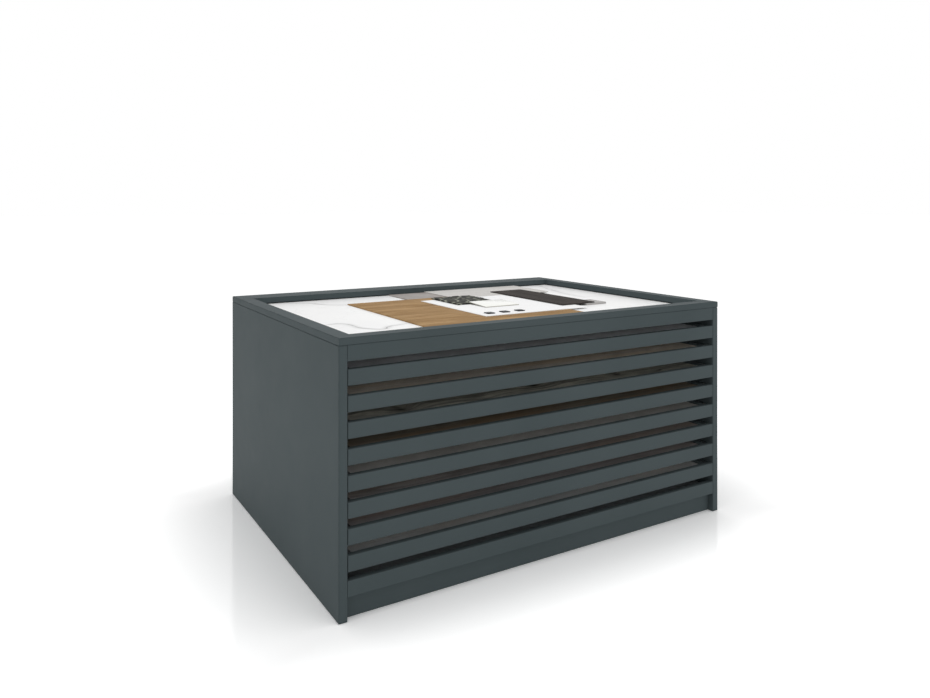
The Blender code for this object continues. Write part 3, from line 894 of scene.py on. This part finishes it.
def pebble_edge(tree, place):
    """Distance from the nearest edge between two pebbles, in pebble widths."""
    spread = tree.vectors("SCALE", {0: place, "Scale": 1 / PEBBLE})
    return tree.node(
        "ShaderNodeTexVoronoi",
        {"feature": "DISTANCE_TO_EDGE", "voronoi_dimensions": "2D"},
        {"Vector": spread, "Scale": 1.0, "Randomness": 0.8},
    )


mosaic_paint = Paint("pebble_mosaic", MATT)
stone_share = mosaic_paint.step(pebble_edge(mosaic_paint, mosaic_paint.place), *GROUT_EDGE)
mottle = mosaic_paint.noise(mosaic_paint.cells(0.012), detail=4.0, roughness=0.6)
stones = mosaic_paint.blend(mosaic_paint.step(mottle, 0.35, 0.7), shade(26, 26, 25), shade(48, 48, 44))
grout = mosaic_paint.blend(mottle, shade(126, 128, 117), shade(150, 152, 139))
pebble_mosaic = mosaic_paint.finish(
    base_color=mosaic_paint.blend(stone_share, grout, stones),
    roughness=0.75 - 0.25 * stone_share + 0.1 * mottle,
    normal=mosaic_paint.bump(mottle, depth=0.00008),
)
print("mosaic made with", len(pebble_mosaic.node_tree.nodes), "nodes")

# %% Mosaic relief
MOSAIC_COLUMNS = 112  # grid points along each side of the slab

relief = Growth("mosaic_relief", {"Size": "Vector", "Centre": "Vector", "Relief": "Float", "Columns": "Int"})
slab = relief.node(
    "GeometryNodeMeshCube",
    sockets={
        "Size": relief.given("Size"),
        "Vertices X": relief.given("Columns"),
        "Vertices Y": relief.given("Columns"),
        "Vertices Z": 2,
    },
)
moved = relief.node("GeometryNodeTransform", sockets={0: slab, "Translation": relief.given("Centre")})
place = relief.node("GeometryNodeInputPosition")
height = relief.node("ShaderNodeSeparateXYZ", sockets={0: place}, output=2)
middle_height = relief.node("ShaderNodeSeparateXYZ", sockets={0: relief.given("Centre")}, output=2)
is_top = relief.node("FunctionNodeCompare", {"operation": "GREATER_THAN"}, {0: height, 1: middle_height})
dome = relief.step(pebble_edge(relief, place), *DOME_EDGE)
lift = relief.node("ShaderNodeCombineXYZ", sockets={2: dome * relief.given("Relief")})
raised = relief.node("GeometryNodeSetPosition", sockets={0: moved, "Selection": is_top, "Offset": lift})
relief.end(raised, pebble_mosaic)

# %% Mosaic
mosaic_mesh = relief.grow(
    "pebble_mosaic",
    bpy.data.meshes.new("mosaic_seed"),
    {
        "Size": mosaic_high - mosaic_low,
        "Centre": (mosaic_high + mosaic_low) / 2,
        "Relief": MOSAIC_RELIEF,
        "Columns": MOSAIC_COLUMNS,
    },
)
greige_low, greige_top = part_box("greige_sample")
step_up = greige_top.z - card_top.z
mosaic_mesh.transform(tip(mosaic_low, step_up / (greige_low.y - mosaic_low.y)))
add_piece("pebble_mosaic", mosaic_mesh, pebble_mosaic, "carcass")
print("mosaic of", len(mosaic_mesh.polygons), "faces")

# %% [markdown]
# ## Things that repeat: glass chips and screws
#
# Three black glass chips lie in a row on the card. Pan head screws hold the inner slide members to each
# drawer board, and countersunk screws run round the back panel. All of these are one small shape repeated
# along a line, so one tree does them: resample a line, put a copy on each point, turn it to face outwards.


# %% A tree that repeats a shape along a line
def row_tree(finish):
    """A tree that puts a count of copies of a shape along a line, all turned the same way."""
    row = Growth("row_in_" + finish.name, {"Shape": "Object", "Count": "Int", "Turn": "Vector"})
    line = row.node("GeometryNodeMeshToCurve", sockets={0: row.given("Geometry")})
    points = row.node("GeometryNodeResampleCurve", sockets={0: line, "Count": row.given("Count")})
    shape = row.node("GeometryNodeObjectInfo", sockets={0: row.given("Shape")}, output="Geometry")
    turn = row.node("FunctionNodeEulerToRotation", sockets={0: row.given("Turn")})
    copies = row.node(
        "GeometryNodeInstanceOnPoints", sockets={"Points": points, "Instance": shape, "Rotation": turn}
    )
    row.end(copies, finish)
    return row


def line_mesh(corners, closed=False):
    """A bare chain of edges through the corners."""
    data = bpy.data.meshes.new("line")
    edges = [(index, index + 1) for index in range(len(corners) - 1)]
    if closed:
        edges.append((len(corners) - 1, 0))
    data.from_pydata(corners, edges, [])
    return data


def pattern(name, mesh):
    """A shape for the tree to copy, kept off the scene."""
    return bpy.data.objects.new(name, mesh_data(name, mesh))


# %% Glass chips
CHIP = Vector((0.025, 0.025, 0.0025))
CHIP_ROLL = 0.0008  # radius of its rounded edges
CHIPS = 3
FIRST_CHIP, LAST_CHIP = (-0.061, -0.220), (0.048, -0.220)

chip_paint = Paint("black_glass", shine=0.04)
swirl = chip_paint.noise(chip_paint.cells((0.010, 0.016, 0.010)), detail=3.0, distortion=1.0)
black_glass = chip_paint.finish(
    base_color=chip_paint.blend(swirl, shade(16, 17, 22), shade(28, 29, 36)),
    roughness=0.20 + 0.15 * swirl,
    normal=chip_paint.bump(swirl, depth=0.0002),
)
chip = pattern("chip_pattern", rounded_slab(CHIP, CHIP_ROLL))
chip_line = line_mesh([(*FIRST_CHIP, on_card), (*LAST_CHIP, on_card)])
chip_row = row_tree(black_glass)
chip_mesh = chip_row.grow("glass_chips", chip_line, {"Shape": chip, "Count": CHIPS, "Turn": (0, 0, 0)})
add_piece("glass_chips", chip_mesh, black_glass, "carcass")
print("glass chips of", len(chip_mesh.polygons), "faces")


# %% Screw shapes
def turned_head(profile, sides, cross):
    """A screw head turned from a profile of (radius, height) points, with a cross pressed into it."""
    mesh = bmesh.new()
    crown_height = profile[0][1]
    crown = mesh.verts.new((0, 0, crown_height))
    angles = [2 * math.pi * side / sides for side in range(sides)]
    rings = []
    for radius, height in profile[1:]:
        ring = [(radius * math.cos(angle), radius * math.sin(angle), height) for angle in angles]
        rings.append([mesh.verts.new(corner) for corner in ring])
    for side in range(sides):
        after = (side + 1) % sides
        mesh.faces.new((crown, rings[0][side], rings[0][after]))
        for upper, lower in zip(rings, rings[1:]):
            mesh.faces.new((upper[side], lower[side], lower[after], upper[after]))
    mesh.faces.new(reversed(rings[-1]))
    head = pattern("head", mesh)
    scene.collection.objects.link(head)
    length, breadth, depth = cross
    for size in ((length, breadth, depth), (breadth, length, depth)):
        blade = pattern("blade", block(size, crown_height))
        scene.collection.objects.link(blade)
        cut = head.modifiers.new("cross", "BOOLEAN")
        cut.operation = "DIFFERENCE"
        cut.object = blade
    bpy.context.view_layer.update()
    done = bpy.data.meshes.new_from_object(head.evaluated_get(bpy.context.evaluated_depsgraph_get()))
    for used in [head, *(cut.object for cut in head.modifiers)]:
        bpy.data.objects.remove(used)
    return bpy.data.objects.new("screw_pattern", done)


MM = 0.001
pan_profile = [(0, 1.5 * MM), (1.3 * MM, 1.4 * MM), (2.4 * MM, 1.0 * MM), (3.1 * MM, 0.4 * MM), (3.2 * MM, 0)]
pan_head = turned_head(pan_profile, sides=14, cross=(2.8 * MM, 0.7 * MM, 1.4 * MM))
flat_profile = [(0, 0.30 * MM), (2.4 * MM, 0.28 * MM), (3.5 * MM, 0.12 * MM), (3.6 * MM, 0)]
flat_head = turned_head(flat_profile, sides=16, cross=(3.0 * MM, 0.8 * MM, 0.4 * MM))
print("screw heads of", len(pan_head.data.polygons), "and", len(flat_head.data.polygons), "faces")

# %% Screws on the slides
SLIDE_SHEET = 0.0012  # thickness of the slides' sheet
FIRST_SCREW, LAST_SCREW = -0.420, 0.320  # their places along y
SLIDE_SCREWS = 6  # on each side of a drawer

screw_row = row_tree(zinc_steel)
web_face = board_edge + SLIDE_SHEET
for number in DRAWERS:
    low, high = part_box(f"slide_{number}_left_middle")
    level = (low.z + high.z) / 2
    both_sides = bmesh.new()
    for side in (-1, 1):
        line = line_mesh([(side * web_face, end, level) for end in (FIRST_SCREW, LAST_SCREW)])
        turn = (0, side * math.pi / 2, 0)
        made = screw_row.grow("screws", line, {"Shape": pan_head, "Count": SLIDE_SCREWS, "Turn": turn})
        both_sides.from_mesh(made)
    name = f"drawer_{number}_screws"
    add_piece(name, mesh_data(name, both_sides), zinc_steel, f"drawer_{number}")
print(2 * SLIDE_SCREWS, "screws on each of", len(DRAWERS), "drawers")

# %% Screws on the back panel
SCREW_INSET = 0.0045  # from a side panel's inner face out to the row of screws
BACK_SCREWS = 26

deck_low, deck_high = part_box("top_deck")
bottom_low, bottom_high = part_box("bottom_panel")
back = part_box("back_panel")[1].y
edge = panel_inner_face + SCREW_INSET
upper, lower = (deck_low.z + deck_high.z) / 2, (bottom_low.z + bottom_high.z) / 2
corners = [(-edge, back, lower), (edge, back, lower), (edge, back, upper), (-edge, back, upper)]
turn = (-math.pi / 2, 0, 0)
back_mesh = screw_row.grow(
    "back_screws", line_mesh(corners, closed=True), {"Shape": flat_head, "Count": BACK_SCREWS, "Turn": turn}
)
add_piece("back_screws", back_mesh, zinc_steel, "carcass")
for used in (chip, pan_head, flat_head):
    bpy.data.objects.remove(used)
print(BACK_SCREWS, "screws on the back")

# %% [markdown]
# ## The studio
#
# The unit stands on a white floor in even light from all round, with a softbox on the left, one in front
# and one above. The left one makes the left panel a little lighter than the front. The background is white
# because the floor and the world are white to the camera, not because the lamps are strong, so the
# finishes keep their own tone. To the camera and in reflections the floor also carries painted shade: it is
# darker close to the cabinet, on top of the shadow that the lamps cast, and a little darker to the right.

# %% Floor
FLOOR_REACH = 60.0
FLOOR_DROP = 0.0005  # how far it lies below the cabinet's feet
ROOM_WHITE = 0.80  # what the floor gives back to the room
SEEN_NEAR = 0.47  # what the camera sees on top of that, close to the cabinet, in the painted shade
PAINTED_SHADE_PER_METRE_RIGHT = 0.09  # painted shade: by which the camera's level falls for each metre to the right
SEEN_BEYOND_PAINTED_SHADE = 0.50  # what the camera sees on top of both further out, beyond the painted shade
SIDE_PAINTED_SHADE, FRONT_PAINTED_SHADE = 0.65, 0.30  # how far the painted shade reaches from the cabinet at the sides and in front


def in_sight(tree):
    """1 for what the camera sees, straight or through metal and glass, and 0 for light on its way round."""
    kinds = ("Is Camera Ray", "Is Glossy Ray", "Is Transmission Ray")
    camera_ray, glossy, through = (tree.node("ShaderNodeLightPath", output=kind) for kind in kinds)
    return camera_ray.larger(glossy).larger(through)


def floor_level_with_painted_shade(paint):
    """How much light the floor gives back: plain white to the room; to the camera, painted shade close to the
    cabinet that lightens further out and deepens a little to the right.
    """
    x, y, _ = paint.axes()
    side = (abs(x) - cad_box[1].x).larger(0.0)
    front = (abs(y) - cad_box[1].y).larger(0.0)
    # painted shade: the floor is seen darker close to the cabinet and lighter further out
    beyond_painted_shade = paint.step(side, 0.0, SIDE_PAINTED_SHADE).larger(paint.step(front, 0.0, FRONT_PAINTED_SHADE))
    # painted shade: the floor is seen a little darker towards the right
    across = x.larger(-1.0).smaller(1.0)
    return ROOM_WHITE + in_sight(paint) * (SEEN_NEAR - PAINTED_SHADE_PER_METRE_RIGHT * across + SEEN_BEYOND_PAINTED_SHADE * beyond_painted_shade)


floor_paint = Paint("studio_floor")
level = floor_level_with_painted_shade(floor_paint)
tone = floor_paint.node("ShaderNodeCombineColor", sockets={0: level, 1: level, 2: level})
matt = floor_paint.node("ShaderNodeBsdfDiffuse", sockets={"Color": tone})
gloss = floor_paint.node("ShaderNodeBsdfGlossy", sockets={"Color": (1, 1, 1, 1), "Roughness": 0.10})
both = floor_paint.node("ShaderNodeMixShader", sockets={0: 0.12, 1: matt, 2: gloss})
floor_paint.feed(floor_paint.tree.nodes["Material Output"].inputs["Surface"], both)
floor_mesh = bmesh.new()
bmesh.ops.create_grid(floor_mesh, x_segments=1, y_segments=1, size=FLOOR_REACH)
floor_data = mesh_data("studio_floor", floor_mesh)
floor_data.materials.append(floor_paint.material)
floor = bpy.data.objects.new("studio_floor", floor_data)
floor.location.z = -FLOOR_DROP
scene.collection.objects.link(floor)
print("floor reaches", FLOOR_REACH, "m out")

# %% World
AMBIENT = 0.62  # light from all round; the camera itself sees white

world = bpy.data.worlds.new("studio")
world.use_nodes = True
scene.world = world
sky = Tree(world.node_tree)
background = world.node_tree.nodes["Background"]
sky.feed(background.inputs["Strength"], AMBIENT + (1 - AMBIENT) * in_sight(sky))
background.inputs["Color"].default_value = (1, 1, 1, 1)
scene.view_settings.view_transform = "Standard"
print("an even room of", AMBIENT)


# %% Softboxes
def add_softbox(name, place, target, size, power):
    """A large rectangular lamp that faces its target; the power is in watts."""
    lamp = bpy.data.lights.new(name, "AREA")
    lamp.shape = "RECTANGLE"
    lamp.size, lamp.size_y = size
    lamp.energy = power
    box = bpy.data.objects.new(name, lamp)
    box.location = place
    box.rotation_euler = (Vector(target) - Vector(place)).to_track_quat("-Z", "Y").to_euler()
    scene.collection.objects.link(box)
    print(name, "of", power, "W")


add_softbox("left_softbox", place=(-3.4, -0.4, 0.75), target=(-0.64, 0, 0.33), size=(2.4, 1.3), power=10)
add_softbox("front_softbox", place=(0.3, -3.6, 0.8), target=(0, -0.47, 0.35), size=(3.2, 1.4), power=20)
add_softbox("top_softbox", place=(0.1, -0.6, 3.4), target=(0, 0, 0.66), size=(3.0, 3.0), power=32)
